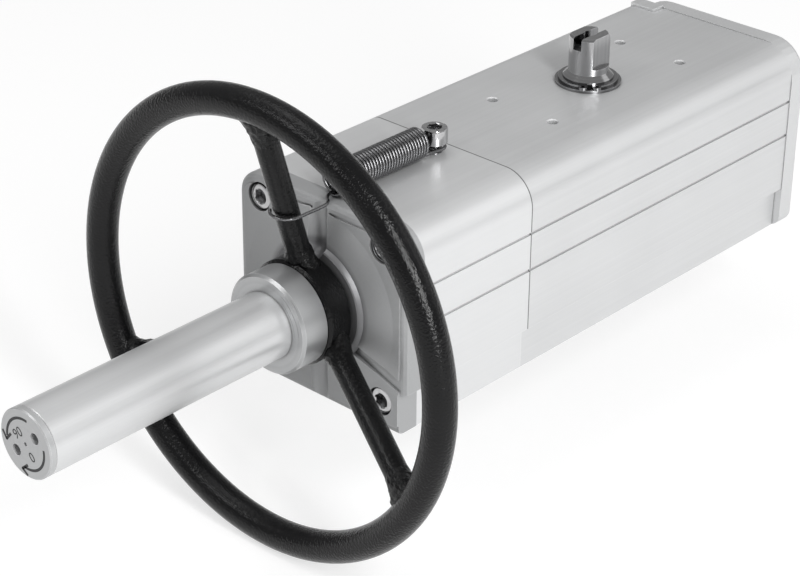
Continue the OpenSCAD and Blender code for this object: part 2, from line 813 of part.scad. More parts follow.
module inner_thrust_washer() {
    color(bronze) on_axis(retainer_x - thrust_t) {
        ring(nut_journal_d / 2 + screw_hole_gap, nut_flange_d / 2 + 0.5, thrust_t);
    }
}

// The four places of the retainer's screws
module at_retainer_screws(x) {
    for (a = [45:90:315]) on_axis(x) rotate(a) translate([retainer_screw_r, 0, 0]) children();
}

module bearing_retainer() {
    color(steel) difference() {
        on_axis(cover_in_x) cylinder(d = retainer_d, h = retainer_x + retainer_t - cover_in_x);
        on_axis(cover_in_x - 1) cylinder(r = flange_pocket_r + 0.5, h = retainer_x - cover_in_x + 1);
        on_axis(retainer_x - 1) cylinder(r = spindle_d / 2 + 2, h = retainer_t + 2);
        at_retainer_screws(cover_in_x - 1) {
            cylinder(r = retainer_screw_d / 2 + screw_hole_gap, h = retainer_x + retainer_t - cover_in_x + 2);
        }
    }
}

module retainer_screws() {
    color(steel) at_retainer_screws(retainer_x + retainer_t) mirror([0, 0, 1]) {
        socket_screw(retainer_screw_d, tap_r(retainer_screw_d), retainer_screw_d * 1.7, retainer_screw_d,
            retainer_x + retainer_t - cover_in_x, retainer_thread_l);
    }
}

module lock_screw() {
    color(steel) translate([lock_screw_x, 0, body_h + lock_head_gap]) mirror([0, 0, 1]) {
        socket_screw(screw_d, tap_r(screw_d), screw_head_d, screw_head_h, lock_head_gap, lock_thread_l);
    }
}

// Round wire along a path, its rings carried along without twist
module wire(path, d, sides, side_dir) {
    t = [for (i = [0:len(path) - 1]) unit(path[min(i + 1, len(path) - 1)] - path[max(i - 1, 0)])];
    n = [
        for (i = 0, v = level(side_dir, t[0]); i < len(t); v = level(v, t[min(i + 1, len(t) - 1)]), i = i + 1) v
    ];
    points = [
        for (i = [0:len(path) - 1], k = [0:sides - 1])
            let (a = 360 * k / sides)
            path[i] + d / 2 * (cos(a) * n[i] + sin(a) * cross(t[i], n[i]))
    ];
    last = (len(path) - 1) * sides;
    faces = concat(
        [[for (k = [0:sides - 1]) k]],
        [[for (k = [sides - 1:-1:0]) last + k]],
        [
            for (i = [0:len(path) - 2], k = [0:sides - 1])
                let (here = i * sides, there = here + sides, next = (k + 1) % sides)
                each [[here + k, there + k, there + next], [here + k, there + next, here + next]]
        ]
    );
    polyhedron(points, faces);
}

// Eye round the lock screw, a lead, then the closed coils towards the handwheel
module lock_spring() {
    eye_end = [lock_screw_x + eye_r * cos(eye_end_angle), eye_r * sin(eye_end_angle), eye_z];
    coil_start = [coil_x, 0, coil_z - coil_r];
    away = [sin(eye_end_angle), -cos(eye_end_angle), 0];
    path = concat(
        [
            for (a = [eye_end_angle + 290:-14.5:eye_end_angle + 1])
                [lock_screw_x + eye_r * cos(a), eye_r * sin(a), eye_z]
        ],
        [for (u = [0:0.2:0.9]) bezier(eye_end, eye_end + 3.5 * away, coil_start - [0, 2.5, 0], coil_start, u)],
        [
            for (s = [0:24:360 * coils])
                [coil_x - coil_pitch * s / 360, coil_r * sin(s), coil_z - coil_r * cos(s)]
        ]
    );
    color(steel) wire(path, wire_d, 6, [0, 0, 1]);
}

// Wire that runs out of the coils and catches the upright spoke
module lock_hook() {
    path = concat(
        [
            [coil_end_x + hook_shank_l, 0, hook_z],
            [coil_end_x + hook_shank_l / 2, 0, hook_z],
            [coil_end_x + 1, -0.1, hook_z],
            [coil_end_x - 5, -1.5, hook_z],
            [hook_spoke_x + 9, -hook_r + 1.6, hook_z],
            [hook_spoke_x + 4, -hook_r + 0.2, hook_z]
        ],
        [for (a = [-88:-14.2:-215]) [hook_spoke_x + hook_r * cos(a), hook_r * sin(a), hook_z]],
        [[hook_spoke_x + hook_r * cos(-230), hook_r * sin(-230), hook_z + 0.8]]
    );
    color(steel) wire(path, wire_d, 8, [0, 0, 1]);
}

module drive_shaft() {
    low_r = low_journal_d / 2;
    top_r = top_journal_d / 2;
    tip = shaft_top_d / 2;
    neck_r = root_r - 0.5;
    color(steel) difference() {
        union() {
            rotate_extrude() polygon([
                [0, shaft_low_z],
                [low_r - shaft_chamfer, shaft_low_z],
                [low_r, shaft_low_z + shaft_chamfer],
                [low_r, low_seal_z - shaft_groove_w / 2],
                [low_r - shaft_seal_d, low_seal_z - shaft_groove_w / 2],
                [low_r - shaft_seal_d, low_seal_z + shaft_groove_w / 2],
                [low_r, low_seal_z + shaft_groove_w / 2],
                [low_r, pinion_z - 1],
                [neck_r, pinion_z - 1],
                [neck_r, pinion_z + pinion_h + 1],
                [shoulder_d / 2, pinion_z + pinion_h + 1],
                [shoulder_d / 2, upper_bush_z - shaft_float],
                [top_r, upper_bush_z - shaft_float],
                [top_r, top_seal_z - shaft_groove_w / 2],
                [top_r - shaft_seal_d, top_seal_z - shaft_groove_w / 2],
                [top_r - shaft_seal_d, top_seal_z + shaft_groove_w / 2],
                [top_r, top_seal_z + shaft_groove_w / 2],
                [top_r, circlip_z],
                [circlip_groove_r, circlip_z],
                [circlip_groove_r, circlip_z + circlip_t],
                [top_r, circlip_z + circlip_t],
                [top_r, taper_z],
                [tip, taper_z + taper_h],
                [tip, shaft_z - 0.8],
                [tip - 0.8, shaft_z],
                [0, shaft_z]
            ]);
            translate([0, 0, pinion_z]) linear_extrude(pinion_h) polygon(pinion_outline);
        }
        translate([-socket_w / 2, -socket_w / 2, shaft_low_z - 1]) cube([socket_w, socket_w, socket_depth + 1]);
        for (s = [-1, 1]) {
            translate([-tip - 1, s > 0 ? flats_w / 2 : -flats_w / 2 - tip, shaft_z - flats_l]) {
                cube([2 * tip + 2, tip, flats_l + 1]);
            }
        }
        translate([-tip - 1, -slot_w / 2, shaft_z - slot_d]) cube([2 * tip + 2, slot_w, slot_d + 1]);
        translate([0, 0, shaft_z - center_hole_depth]) cylinder(r = center_hole_r, h = center_hole_depth + 1);
    }
}

module shaft_seals() {
    color(rubber_black) {
        translate([0, 0, low_seal_z]) o_ring(low_journal_d / 2 - shaft_seal_d / 2 + seal_squeeze, shaft_seal_d);
        translate([0, 0, top_seal_z]) o_ring(top_journal_d / 2 - shaft_seal_d / 2 + seal_squeeze, shaft_seal_d);
    }
}

module shaft_circlip() {
    color(steel) translate([0, 0, circlip_z]) linear_extrude(circlip_t) difference() {
        union() {
            circle(r = circlip_r);
            for (s = [-1, 1]) rotate(circlip_angle + s * 13) translate([circlip_r, 0]) circle(r = 1.9, $fn = 24);
        }
        circle(r = circlip_groove_r);
        rotate(circlip_angle) translate([0, -0.9]) square([circlip_r + 4, 1.8]);
        for (s = [-1, 1]) rotate(circlip_angle + s * 13) translate([circlip_r + 0.2, 0]) circle(r = 0.8, $fn = 24);
    }
}

// Piston drawn as the rear one: head towards +X, its rack along the near side of the pinion
module piston() {
    difference() {
        union() {
            on_axis(piston_in_x) cylinder(r = piston_r, h = head_t);
            intersection() {
                translate([0, 0, axis_h - rack_h / 2]) linear_extrude(rack_h) polygon(rack_outline);
                on_axis(rack_end_x - 1) cylinder(r = rack_back_r, h = piston_in_x - rack_end_x + 3);
            }
        }
        on_axis(piston_out_x - seal_back - seal_groove_w) {
            ring(bore_r - piston_seal_d - 0.1, bore_r + 1, seal_groove_w);
        }
        on_axis(piston_out_x - guide_back - guide_w) ring(bore_r - guide_depth, bore_r + 1, guide_w);
        translate([rack_end_x + 4, -bore_r - 1, axis_h - pad_w / 2]) {
            cube([pad_l, bore_r + 1 - rack_back_r + pad_depth, pad_w]);
        }
    }
}

module piston_seal() {
    on_axis(piston_out_x - seal_back - seal_groove_w / 2) {
        o_ring(bore_r - piston_seal_d / 2 - seal_squeeze, piston_seal_d);
    }
}

module guide_ring() {
    on_axis(piston_out_x - guide_back - guide_w) ring(bore_r - guide_depth, bore_r - 0.04, guide_w);
}

module rack_pad() {
    intersection() {
        translate([rack_end_x + 4, -bore_r, axis_h - pad_w / 2]) {
            cube([pad_l, bore_r - rack_back_r + pad_depth, pad_w]);
        }
        on_axis(rack_end_x) cylinder(r = bore_r - 0.06, h = pad_l + 8);
    }
}

module rear_piston() {
    color(light_alu) difference() {
        piston();
        on_axis(piston_out_x - dish_depth) cylinder(d = dish_d, h = dish_depth + 1);
    }
}

module rear_piston_seal() {
    color(rubber_black) piston_seal();
}

module rear_guide_ring() {
    color(pale_plastic) guide_ring();
}

module rear_rack_pad() {
    color(pale_plastic) rack_pad();
}

module front_piston() {
    color(light_alu) difference() {
        rotate(180) piston();
        on_axis(-piston_out_x - 1) cylinder(r = sleeve_spigot_r, h = sleeve_spigot_l + 1);
    }
}

module front_piston_seal() {
    color(rubber_black) rotate(180) piston_seal();
}

module front_guide_ring() {
    color(pale_plastic) rotate(180) guide_ring();
}

module front_rack_pad() {
    color(pale_plastic) rotate(180) rack_pad();
}

module draw_sleeve() {
    color(steel) difference() {
        union() {
            on_axis(sleeve_out_x) cylinder(d = sleeve_d, h = -piston_out_x - sleeve_out_x);
            on_axis(-piston_out_x - 1) cylinder(r = sleeve_spigot_r, h = sleeve_spigot_l + 1);
        }
        on_axis(sleeve_out_x - 1) cylinder(r = sleeve_nut_r, h = sleeve_nut_t + 1);
        translate([sleeve_out_x + sleeve_nut_t - 0.5, -sleeve_bore_w / 2, axis_h - sleeve_bore_w / 2]) {
            cube([sleeve_cavity_l + 0.5, sleeve_bore_w, sleeve_bore_w]);
        }
    }
}

module sleeve_nut() {
    color(steel) on_axis(sleeve_out_x) ring(spindle_d / 2 + 0.15, sleeve_nut_r, sleeve_nut_t);
}

module spindle() {
    color(steel) {
        on_axis(spindle_front_x) cylinder(d = spindle_d, h = spindle_head_x - spindle_front_x + 1);
        translate([spindle_head_x, -spindle_head_w / 2, axis_h - spindle_head_w / 2]) {
            cube([spindle_head_t, spindle_head_w, spindle_head_w]);
        }
    }
}

module rim_shape() {
    on_axis(rim_x) rotate_extrude() translate([rim_r, 0]) circle(d = rim_d);
}

module wheel_rim() {
    color(black_gloss) rim_shape();
}

module wheel_spokes() {
    color(black_gloss) difference() {
        for (a = [0:120:240]) {
            translate([spoke_root_x, 0, axis_h]) rotate([a, 0, 0]) translate([0, 0, spoke_root_r]) {
                rotate([0, -spoke_tilt, 0]) cylinder(d = spoke_d, h = spoke_len);
            }
        }
        rim_shape();
        on_axis(hub_front_x - 4) cylinder(d = hub_d, h = hub_l + 8);
    }
}

module key_block() {
    translate([hub_back_x - 2 - key_l, -key_w / 2, axis_h + nut_d / 2 - key_w / 2]) cube([key_l, key_w, key_w]);
}

module wheel_hub() {
    r = hub_d / 2;
    color(black_gloss) difference() {
        on_axis(hub_front_x) rotate_extrude() polygon([
            [nut_d / 2, 0], [r - 1, 0], [r, 1], [r, hub_l - 1], [r - 1, hub_l], [nut_d / 2, hub_l]
        ]);
        key_block();
    }
}

module hub_key() {
    color(steel) key_block();
}

module drive_nut() {
    color(bronze) difference() {
        union() {
            on_axis(nut_front_x) cylinder(d = nut_d, h = hub_back_x - nut_front_x + 1);
            on_axis(hub_back_x) cylinder(d = nut_journal_d, h = nut_flange_x - hub_back_x + 1);
            on_axis(nut_flange_x) cylinder(d = nut_flange_d, h = nut_flange_t);
        }
        on_axis(nut_front_x - 1) {
            cylinder(r = spindle_d / 2 + running_gap, h = nut_flange_x + nut_flange_t - nut_front_x + 2);
        }
        key_block();
    }
}

// Drilling for the grub screw, from r0 out to r1
module grub_bore(r0, r1) {
    translate([collar_front_x + 4, 0, axis_h]) rotate([grub_angle, 0, 0]) {
        translate([0, 0, r0]) cylinder(r = tap_r(grub_d), h = r1 - r0);
    }
}

module lock_collar() {
    r = collar_d / 2;
    color(light_alu) difference() {
        on_axis(collar_front_x) rotate_extrude() polygon([
            [tube_d / 2, 0], [r - 1, 0], [r, 1], [r, collar_l - 0.5], [r - 0.5, collar_l],
            [nut_d / 2, collar_l], [nut_d / 2, collar_l - 4], [tube_d / 2, collar_l - 4]
        ]);
        grub_bore(tube_d / 2 - 1, r + 1);
    }
}

module collar_grub_screw() {
    color(steel) difference() {
        intersection() {
            grub_bore(tube_d / 2 - 1, collar_d / 2 - 1);
            on_axis(collar_front_x) ring(tube_d / 2, collar_d, collar_l);
        }
        translate([collar_front_x + 4, 0, axis_h]) rotate([grub_angle, 0, 0]) {
            translate([0, 0, collar_d / 2 - 3]) cylinder(r = 1.25, h = 4, $fn = 6);
        }
    }
}

module spindle_tube() {
    r = tube_d / 2;
    l = nut_front_x - tube_front_x;
    color(steel) on_axis(tube_front_x) rotate_extrude() polygon([
        [tube_in_r, cap_t], [r - 0.3, cap_t], [r, cap_t + 0.3], [r, l], [tube_in_r, l]
    ]);
}

module tube_cap() {
    r = tube_d / 2;
    color(light_alu) on_axis(tube_front_x) difference() {
        rotate_extrude() polygon([
            [0, 0], [r - 0.4, 0], [r, 0.4], [r, cap_t - 0.3], [r - 0.3, cap_t], [tube_in_r, cap_t],
            [tube_in_r, cap_t + cap_plug_l], [0, cap_t + cap_plug_l]
        ]);
        rotate(cap_hole_angle) for (s = [-1, 1]) translate([s * cap_hole_gap / 2, 0, -1]) {
            cylinder(d = cap_hole_d, h = cap_hole_depth + 1, $fn = 32);
        }
        translate([0, 0, -1]) cylinder(r = 0.8, h = 1.5, $fn = 24);
    }
}

main_housing();
override_housing();
front_cover();
rear_cover();
corner_tab();
front_cover_screws();
rear_cover_screws();
bulkhead();
bulkhead_seal();
sleeve_seal();
rear_cover_seal();
upper_shaft_bush();
lower_shaft_bush();
shaft_washer();
nut_bush();
outer_thrust_washer();
inner_thrust_washer();
bearing_retainer();
retainer_screws();
lock_screw();
lock_spring();
lock_hook();
drive_shaft();
shaft_seals();
shaft_circlip();
front_piston();
front_piston_seal();
front_guide_ring();
front_rack_pad();
draw_sleeve();
sleeve_nut();
rear_piston();
rear_piston_seal();
rear_guide_ring();
rear_rack_pad();
spindle();
wheel_rim();
wheel_spokes();
wheel_hub();
drive_nut();
hub_key();
lock_collar();
collar_grub_screw();
spindle_tube();
tube_cap();
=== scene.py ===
import math

import bpy
from mathutils import Matrix, Vector


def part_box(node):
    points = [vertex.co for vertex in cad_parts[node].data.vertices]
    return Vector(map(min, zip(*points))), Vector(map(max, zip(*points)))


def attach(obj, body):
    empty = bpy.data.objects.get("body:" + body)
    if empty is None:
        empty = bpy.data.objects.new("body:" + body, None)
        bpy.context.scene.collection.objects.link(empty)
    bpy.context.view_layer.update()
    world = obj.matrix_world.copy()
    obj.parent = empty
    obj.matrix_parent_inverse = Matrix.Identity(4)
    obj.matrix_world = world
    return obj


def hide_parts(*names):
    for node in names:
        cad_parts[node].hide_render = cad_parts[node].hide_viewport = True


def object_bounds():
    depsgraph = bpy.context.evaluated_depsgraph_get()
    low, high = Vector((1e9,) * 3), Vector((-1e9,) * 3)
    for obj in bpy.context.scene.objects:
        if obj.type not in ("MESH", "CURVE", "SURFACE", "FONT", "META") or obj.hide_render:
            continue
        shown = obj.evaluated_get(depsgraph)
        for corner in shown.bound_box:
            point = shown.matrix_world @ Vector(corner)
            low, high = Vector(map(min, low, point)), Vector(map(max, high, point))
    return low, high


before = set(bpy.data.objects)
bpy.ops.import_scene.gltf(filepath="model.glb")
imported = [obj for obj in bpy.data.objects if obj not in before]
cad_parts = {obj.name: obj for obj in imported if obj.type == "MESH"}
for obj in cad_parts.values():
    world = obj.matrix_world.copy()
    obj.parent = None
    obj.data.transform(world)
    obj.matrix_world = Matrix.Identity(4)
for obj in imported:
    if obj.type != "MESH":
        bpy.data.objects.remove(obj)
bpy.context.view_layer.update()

# Main housing: a length of extruded aluminium profile, bored, drilled and clear anodised. It carries
# everything else. The die leaves faint lines along its length and the anodising dulls the sheen.


def put(tree, kind, values=(), **settings):
    """One node of a material or group, with its inputs set or linked by name or number."""
    made = tree.nodes.new("ShaderNode" + kind)
    for key, value in settings.items():
        setattr(made, key, value)
    for key, value in dict(values).items():
        if isinstance(value, bpy.types.NodeSocket):
            tree.links.new(value, made.inputs[key])
        else:
            made.inputs[key].default_value = value
    return made


def object_place(tree):
    """The place of each point on its piece."""
    return put(tree, "TexCoord").outputs["Object"]


def maths(tree, operation, *values):
    """A sum of one or two values."""
    return put(tree, "Math", dict(enumerate(values)), operation=operation).outputs[0]


def ramp(tree, value, low, high, at_low, at_high):
    """A value turned into another, evenly between low and high and level beyond them."""
    return put(tree, "MapRange", {"Value": value, 1: low, 2: high, 3: at_low, 4: at_high}).outputs[0]


def blend(tree, share, first, second):
    """The first colour where the share is zero and the second where it is one."""
    return put(tree, "Mix", {0: share, 6: first, 7: second}, data_type="RGBA").outputs[2]


def speckle(tree, rate, detail, roughness=0.5):
    """A noise all over the piece: rate is the number of spots in a metre."""
    values = {"Vector": object_place(tree), "Scale": rate, "Detail": detail, "Roughness": roughness}
    return put(tree, "TexNoise", values).outputs["Fac"]


def effect(name, takes, gives):
    """An empty node group with its sockets: returns the tree, its input node and its output node."""
    tree = bpy.data.node_groups.new(name, "ShaderNodeTree")
    for side, sockets in (("INPUT", takes), ("OUTPUT", gives)):
        for label, kind, start in sockets:
            made = tree.interface.new_socket(label, in_out=side, socket_type="NodeSocket" + kind)
            if side == "INPUT":
                made.default_value = start
    return tree, tree.nodes.new("NodeGroupInput"), tree.nodes.new("NodeGroupOutput")


# Rubbed and highlit edges: the mask is one where the surface turns sharply, broken up by a fine noise. The
# lighter colour laid there is partly rubbed wear and partly a painted highlight of a rounded edge.
rubbed_and_highlit_edges, taken, given = effect(
    "rubbed and highlit edges", [("Radius", "Float", 0.0006), ("Patch size", "Float", 0.004)], [("Mask", "Float", 0)]
)
rounded = put(rubbed_and_highlit_edges, "Bevel", {"Radius": taken.outputs["Radius"]}, samples=6)
facing = put(rubbed_and_highlit_edges, "NewGeometry")
turned_by = put(
    rubbed_and_highlit_edges, "VectorMath", {0: rounded.outputs[0], 1: facing.outputs["Normal"]}, operation="DOT_PRODUCT"
)
patches = speckle(rubbed_and_highlit_edges, maths(rubbed_and_highlit_edges, "DIVIDE", 1.0, taken.outputs["Patch size"]), 3.0)
sharp = ramp(rubbed_and_highlit_edges, turned_by.outputs["Value"], 0.995, 0.80, 0.0, 1.0)
patchy = ramp(rubbed_and_highlit_edges, patches, 0.35, 0.65, 0.35, 1.0)
rubbed_and_highlit_edges.links.new(maths(rubbed_and_highlit_edges, "MULTIPLY", sharp, patchy), given.inputs["Mask"])

# Die lines: a noise drawn out by a different amount along each axis, as an extrusion or a drawn bar shows.
die_lines, taken, given = effect(
    "die lines", [("Rate", "Vector", (6.0, 900.0, 900.0))], [("Value", "Float", 0)]
)
drawn = put(
    die_lines, "VectorMath", {0: object_place(die_lines), 1: taken.outputs["Rate"]}, operation="MULTIPLY"
)
lines = put(
    die_lines, "TexNoise", {"Vector": drawn.outputs[0], "Scale": 1.0, "Detail": 5.0, "Roughness": 0.65}
)
die_lines.links.new(lines.outputs["Fac"], given.inputs["Value"])

# Slow drift of tone, from handling and from uneven anodising.
tone_drift, taken, given = effect("tone drift", [("Size", "Float", 0.05)], [("Value", "Float", 0)])
clouds = speckle(tone_drift, maths(tone_drift, "DIVIDE", 1.0, taken.outputs["Size"]), 4.0)
tone_drift.links.new(clouds, given.inputs["Value"])

# Painted recess shade: the mask is one deep in narrow gaps and corners, which the colour darkens as painted
# shade.
# The dark colour of the painted shade in recesses, and of the housing's joint line.
shade_and_seam_colour = (0.012, 0.012, 0.012, 1)
painted_recess_shade, taken, given = effect("painted recess shade", [("Reach", "Float", 0.002)], [("Mask", "Float", 0)])
open_sky = put(painted_recess_shade, "AmbientOcclusion", {"Distance": taken.outputs["Reach"]}, samples=6)
hidden = ramp(painted_recess_shade, open_sky.outputs["AO"], 0.25, 0.85, 1.0, 0.0)
painted_recess_shade.links.new(hidden, given.inputs["Mask"])


def new_material(name):
    """An empty material: returns it, its tree and its shader."""
    made = bpy.data.materials.new(name)
    made.use_nodes = True
    return made, made.node_tree, made.node_tree.nodes["Principled BSDF"]


def two_tones(colour, tone):
    """The colour a share darker and as much lighter."""
    darker = tuple(value * (1 - tone) for value in colour) + (1,)
    lighter = tuple(min(1, value * (1 + tone)) for value in colour) + (1,)
    return darker, lighter


def wire_up(tree, shader, colour, dull, height, strength, depth):
    """Links a colour, a roughness and a relief to the shader."""
    relief = put(tree, "Bump", {"Strength": strength, "Distance": depth, "Height": height})
    tree.links.new(colour, shader.inputs["Base Color"])
    tree.links.new(dull, shader.inputs["Roughness"])
    tree.links.new(relief.outputs[0], shader.inputs["Normal"])


def metal(
    name, colour, edge, metallic, rough, grain,
    edge_radius=0.0005, tone=0.06, bump=0.25, depth=0.00004, painted_shade=0.0, reach=0.002,
):
    """A bare or anodised metal: grain is the node group that gives its surface lines, with its values."""
    made, tree, shader = new_material(name)
    shader.inputs["Metallic"].default_value = metallic
    texture = put(tree, "Group", grain[1], node_tree=grain[0]).outputs["Value"]
    slow = put(tree, "Group", {"Size": 0.05}, node_tree=tone_drift).outputs["Value"]
    edges = put(tree, "Group", {"Radius": edge_radius}, node_tree=rubbed_and_highlit_edges).outputs["Mask"]
    mixed_noise = put(tree, "Mix", {0: 0.5, 2: texture, 3: slow}).outputs[0]
    contrast = ramp(tree, mixed_noise, 0.35, 0.65, 0.0, 1.0)
    shown = blend(tree, contrast, *two_tones(colour, tone))
    # Sharp edges take the lighter edge colour: partly rubbed wear, partly a painted highlight.
    shown = blend(tree, edges, shown, edge + (1,))
    # Painted shade: deep in gaps and corners the colour darkens towards the dark shade colour.
    if painted_shade:
        corners = put(tree, "Group", {"Reach": reach}, node_tree=painted_recess_shade).outputs["Mask"]
        shown = blend(tree, maths(tree, "MULTIPLY", corners, painted_shade), shown, shade_and_seam_colour)
    dull = ramp(tree, contrast, 0.0, 1.0, rough * 0.85, min(1, rough * 1.15))
    wire_up(tree, shader, shown, dull, texture, bump, depth)
    return made


def stain(material, mask, colour):
    """Lays a colour over a finished material where the mask is one."""
    tree = material.node_tree
    base = tree.nodes["Principled BSDF"].inputs["Base Color"]
    tree.links.new(blend(tree, mask, base.links[0].from_socket, colour), base)


def finish_nodes(material, *names):
    """Puts a finish on CAD nodes."""
    for name in names:
        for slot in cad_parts[name].material_slots:
            slot.material = material


housing_lines = (die_lines, {"Rate": (5.0, 700.0, 700.0)})
housing_finish = metal(
    "anodised housing profile", (0.66, 0.665, 0.67), (0.80, 0.80, 0.81), 0.55, 0.42, housing_lines,
    tone=0.05, painted_shade=0.5, reach=0.0012,
)
finish_nodes(housing_finish, "main_housing")

# Override housing: a shorter length of the same profile, coloured a little lighter than the main housing as
# painted light for its brighter faces.
# It stands flush before the main housing, and the joint shows as a hair line down to a notch in the side.
override_finish = metal(
    "anodised override profile", (0.71, 0.715, 0.72), (0.84, 0.84, 0.85), 0.55, 0.40, housing_lines,
    tone=0.03, painted_shade=0.5, reach=0.0012,
)
finish_nodes(override_finish, "override_housing")
line_w = 0.0006
line_strength = 0.8
override_low, override_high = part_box("override_housing")
notch_z = min(
    corner.co.z
    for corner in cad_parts["override_housing"].data.vertices
    if corner.co.x > override_high.x - line_w and corner.co.y < override_low.y + line_w
)
for finish in (housing_finish, override_finish):
    tree = finish.node_tree
    axes = put(tree, "SeparateXYZ", {0: object_place(tree)})
    off = maths(tree, "ABSOLUTE", maths(tree, "SUBTRACT", axes.outputs["X"], override_high.x))
    line = ramp(tree, off, line_w / 3, line_w / 2, line_strength, 0.0)
    above = maths(tree, "GREATER_THAN", axes.outputs["Z"], notch_z)
    stain(finish, maths(tree, "MULTIPLY", line, above), shade_and_seam_colour)

# Bulkhead and its seals: a turned aluminium plate that parts the two housings. One rubber ring seals it in
# the bore, the other seals the sleeve that slides through it.
bore_centre = (0, 0, 0.042)


def from_axis(tree, centre, across):
    """The distance of each point from a line through the centre: across is zero along that line."""
    offset = put(tree, "VectorMath", {0: object_place(tree), 1: centre}, operation="SUBTRACT")
    offset = put(tree, "VectorMath", {0: offset.outputs[0], 1: across}, operation="MULTIPLY")
    return put(tree, "VectorMath", {0: offset.outputs[0]}, operation="LENGTH").outputs["Value"]


# Turned rings: a noise that runs with the distance from the lathe's axis.
turned_rings, taken, given = effect(
    "turned rings",
    [("Centre", "Vector", bore_centre), ("Across", "Vector", (0, 1, 1)), ("Rate", "Float", 900.0)],
    [("Value", "Float", 0)],
)
distance = from_axis(turned_rings, taken.outputs["Centre"], taken.outputs["Across"])
ring_place = maths(turned_rings, "MULTIPLY", distance, taken.outputs["Rate"])
rings = put(
    turned_rings, "TexNoise", {"W": ring_place, "Scale": 1.0, "Detail": 3.0}, noise_dimensions="1D"
)
turned_rings.links.new(rings.outputs["Fac"], given.inputs["Value"])

turned_about_x = (turned_rings, {"Centre": bore_centre, "Across": (0, 1, 1), "Rate": 900.0})
turned_about_z = (turned_rings, {"Centre": (0, 0, 0), "Across": (1, 1, 0), "Rate": 1100.0})
machined_alu = metal(
    "machined aluminium", (0.66, 0.67, 0.68), (0.82, 0.82, 0.83), 0.8, 0.34, turned_about_x, tone=0.06
)
finish_nodes(machined_alu, "bulkhead")


def moulded(name, colour, rough, grain_size=0.0006, tone=0.12, strength=0.3):
    """Rubber or plastic with a fine moulded grain."""
    made, tree, shader = new_material(name)
    grain = speckle(tree, 1 / grain_size, 4.0)
    slow = put(tree, "Group", {"Size": 0.02}, node_tree=tone_drift).outputs["Value"]
    shown = blend(tree, slow, *two_tones(colour, tone))
    dull = ramp(tree, grain, 0.3, 0.7, rough * 0.85, rough * 1.1)
    wire_up(tree, shader, shown, dull, grain, strength, 0.00006)
    return made


seal_rubber = moulded("black nitrile rubber", (0.018, 0.018, 0.019), 0.62)
finish_nodes(seal_rubber, "bulkhead_seal", "sleeve_seal")

# Shaft bushes: two plain bearings of natural acetal, turned and pushed into the housing above and below
# the bore, where the drive shaft runs in them.
acetal = moulded("natural acetal", (0.74, 0.71, 0.62), 0.45, grain_size=0.0009, tone=0.04, strength=0.15)
finish_nodes(acetal, "upper_shaft_bush", "lower_shaft_bush")

# Drive shaft: one turned bar of stainless steel with the pinion cut into its middle, two flats and a
# slot milled into its top, held up by a washer and a circlip and sealed by two rubber rings.
shaft_steel = metal(
    "turned shaft steel", (0.36, 0.36, 0.365), (0.75, 0.75, 0.76), 1.0, 0.15, turned_about_z,
    tone=0.16, bump=0.35, painted_shade=0.8, reach=0.004,
)
washer_steel = metal(
    "pressed washer steel", (0.28, 0.28, 0.285), (0.60, 0.60, 0.61), 1.0, 0.20, turned_about_z,
    tone=0.12, painted_shade=0.8, reach=0.0015,
)
finish_nodes(shaft_steel, "drive_shaft")
finish_nodes(washer_steel, "shaft_circlip", "shaft_washer")
finish_nodes(seal_rubber, "shaft_seals")

# Pistons: die cast aluminium with a rack down one side, each with its seal, its guide ring and a pad
# that keeps the rack in mesh with the pinion.
finish_nodes(machined_alu, "front_piston", "rear_piston")
finish_nodes(seal_rubber, "front_piston_seal", "rear_piston_seal")
finish_nodes(acetal, "front_guide_ring", "front_rack_pad", "rear_guide_ring", "rear_rack_pad")

# Draw sleeve and its nut: a steel tube screwed to the front piston, which the spindle's head pulls or
# pushes at the ends of its free travel.
turned_steel = metal(
    "turned steel", (0.55, 0.55, 0.56), (0.80, 0.80, 0.81), 0.95, 0.28, turned_about_x, tone=0.10
)
finish_nodes(turned_steel, "draw_sleeve", "sleeve_nut", "spindle")

# Drive nut, its bush and its thrust washers: machined bronze, held in the front cover by a steel
# retainer and its screws. The nut turns with the handwheel, and its thread draws the spindle.
bronze = metal(
    "machined bronze", (0.50, 0.33, 0.14), (0.66, 0.47, 0.22), 0.95, 0.30, turned_about_x, tone=0.10
)
finish_nodes(bronze, "drive_nut", "nut_bush", "outer_thrust_washer", "inner_thrust_washer")
finish_nodes(turned_steel, "bearing_retainer")

# Front cover: an aluminium casting, blasted and painted silver, closed by four socket screws. Its grey is set
# darker than the rear cover's, as painted shade for the face turned away from the lamps. The flank of its
# boss round the hub is darker still, as painted shade.
boss_r = 0.022
shade_width = 0.003
boss_shade_colour = (0.16, 0.16, 0.165, 1)
blasted, taken, given = effect("blasted skin", [("Size", "Float", 0.0007)], [("Value", "Float", 0)])
skin = speckle(blasted, maths(blasted, "DIVIDE", 1.0, taken.outputs["Size"]), 3.0, 0.55)
blasted.links.new(skin, given.inputs["Value"])
front_cover_finish = metal(
    "blasted front cover", (0.39, 0.395, 0.40), (0.60, 0.60, 0.61), 0.35, 0.42,
    (blasted, {"Size": 0.0008}), tone=0.04, bump=0.3, depth=0.00005, painted_shade=0.9, reach=0.003,
)
tree = front_cover_finish.node_tree
# The flank of the boss round the hub is painted darker, as painted shade.
flank = ramp(tree, from_axis(tree, bore_centre, (0, 1, 1)), boss_r, boss_r + shade_width, 1.0, 0.0)
stain(front_cover_finish, flank, boss_shade_colour)
finish_nodes(front_cover_finish, "front_cover")

# Rear cover: the plain casting that closes the other end, with a rubber seal behind it, and the small
# block at the top of the main housing beside it.
rear_cover_finish = metal(
    "blasted rear cover", (0.67, 0.675, 0.68), (0.80, 0.80, 0.81), 0.55, 0.42,
    (blasted, {"Size": 0.0008}), tone=0.03, bump=0.25, painted_shade=0.9, reach=0.0012,
)
finish_nodes(rear_cover_finish, "rear_cover")
finish_nodes(seal_rubber, "rear_cover_seal")
finish_nodes(housing_finish, "corner_tab")

